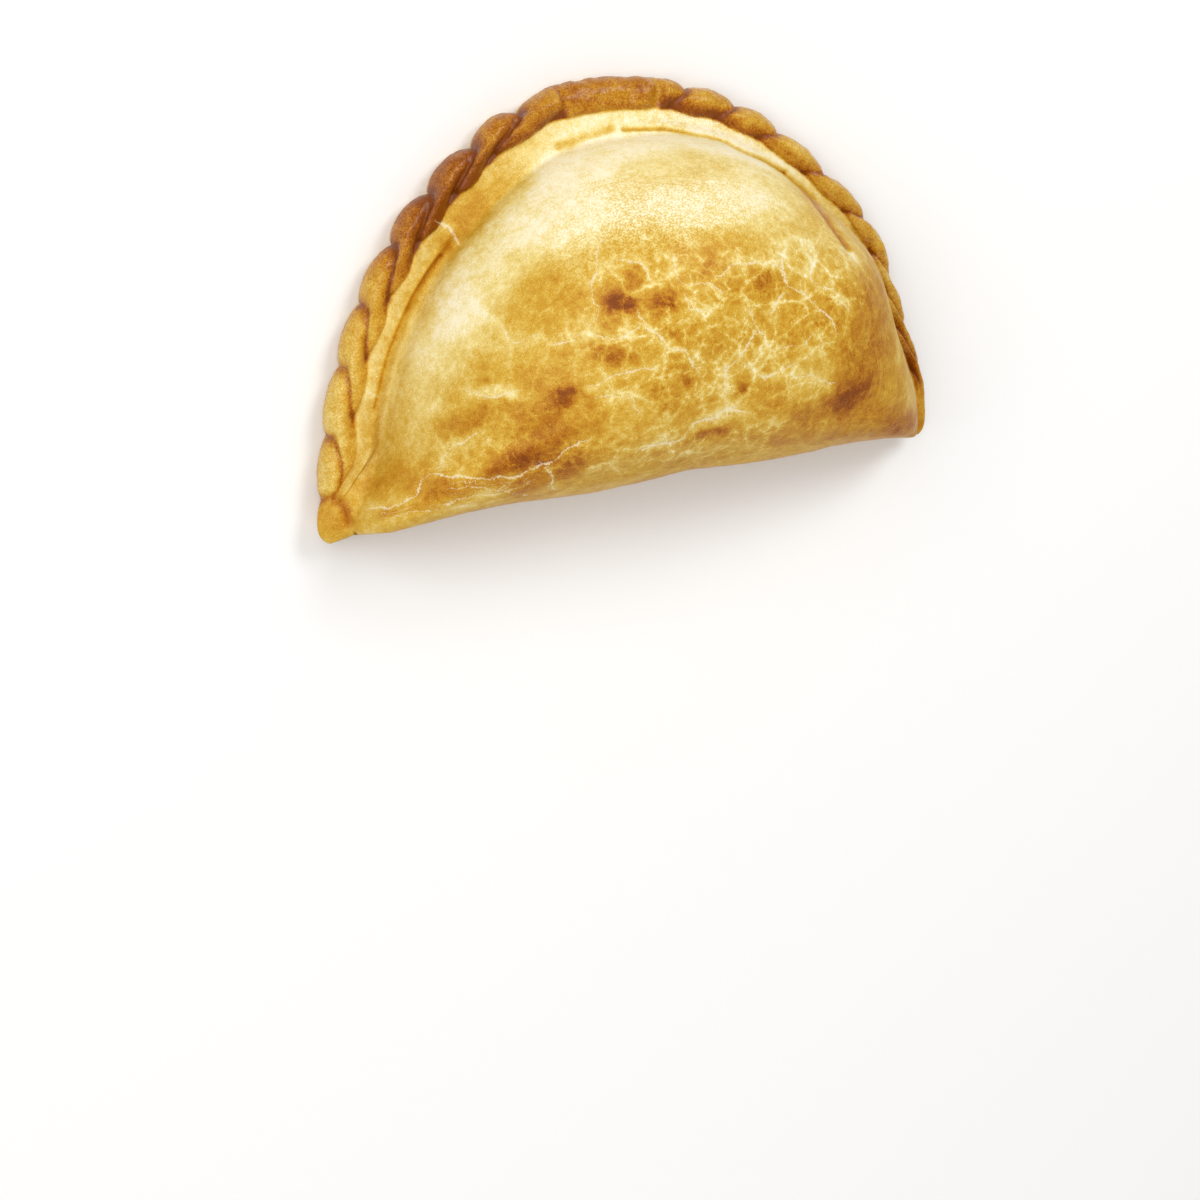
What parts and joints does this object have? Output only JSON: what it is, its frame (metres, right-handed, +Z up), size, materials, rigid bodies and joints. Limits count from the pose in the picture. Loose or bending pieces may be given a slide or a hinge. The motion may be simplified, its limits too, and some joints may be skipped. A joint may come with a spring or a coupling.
{
  "type": "empanada",
  "caption": "Baked empanada lying on its flat side: a plump half-moon of golden egg-washed dough, folded over its filling and sealed with a rope-like crimped rim.",
  "frame": {"origin": "under the middle of the empanada's bounding box, on the surface that it rests on", "axes": "+X along the folded edge, +Y from the folded edge to the crimped rim, +Z up from the flat underside to the dome"},
  "size_m": [0.1254, 0.0758, 0.0435],
  "materials": {
    "crust": "baked dough with egg wash, satin, pale cream to golden brown"
  },
  "bodies": {
    "root": {"empanada": "crust"}
  },
  "joints": []
}
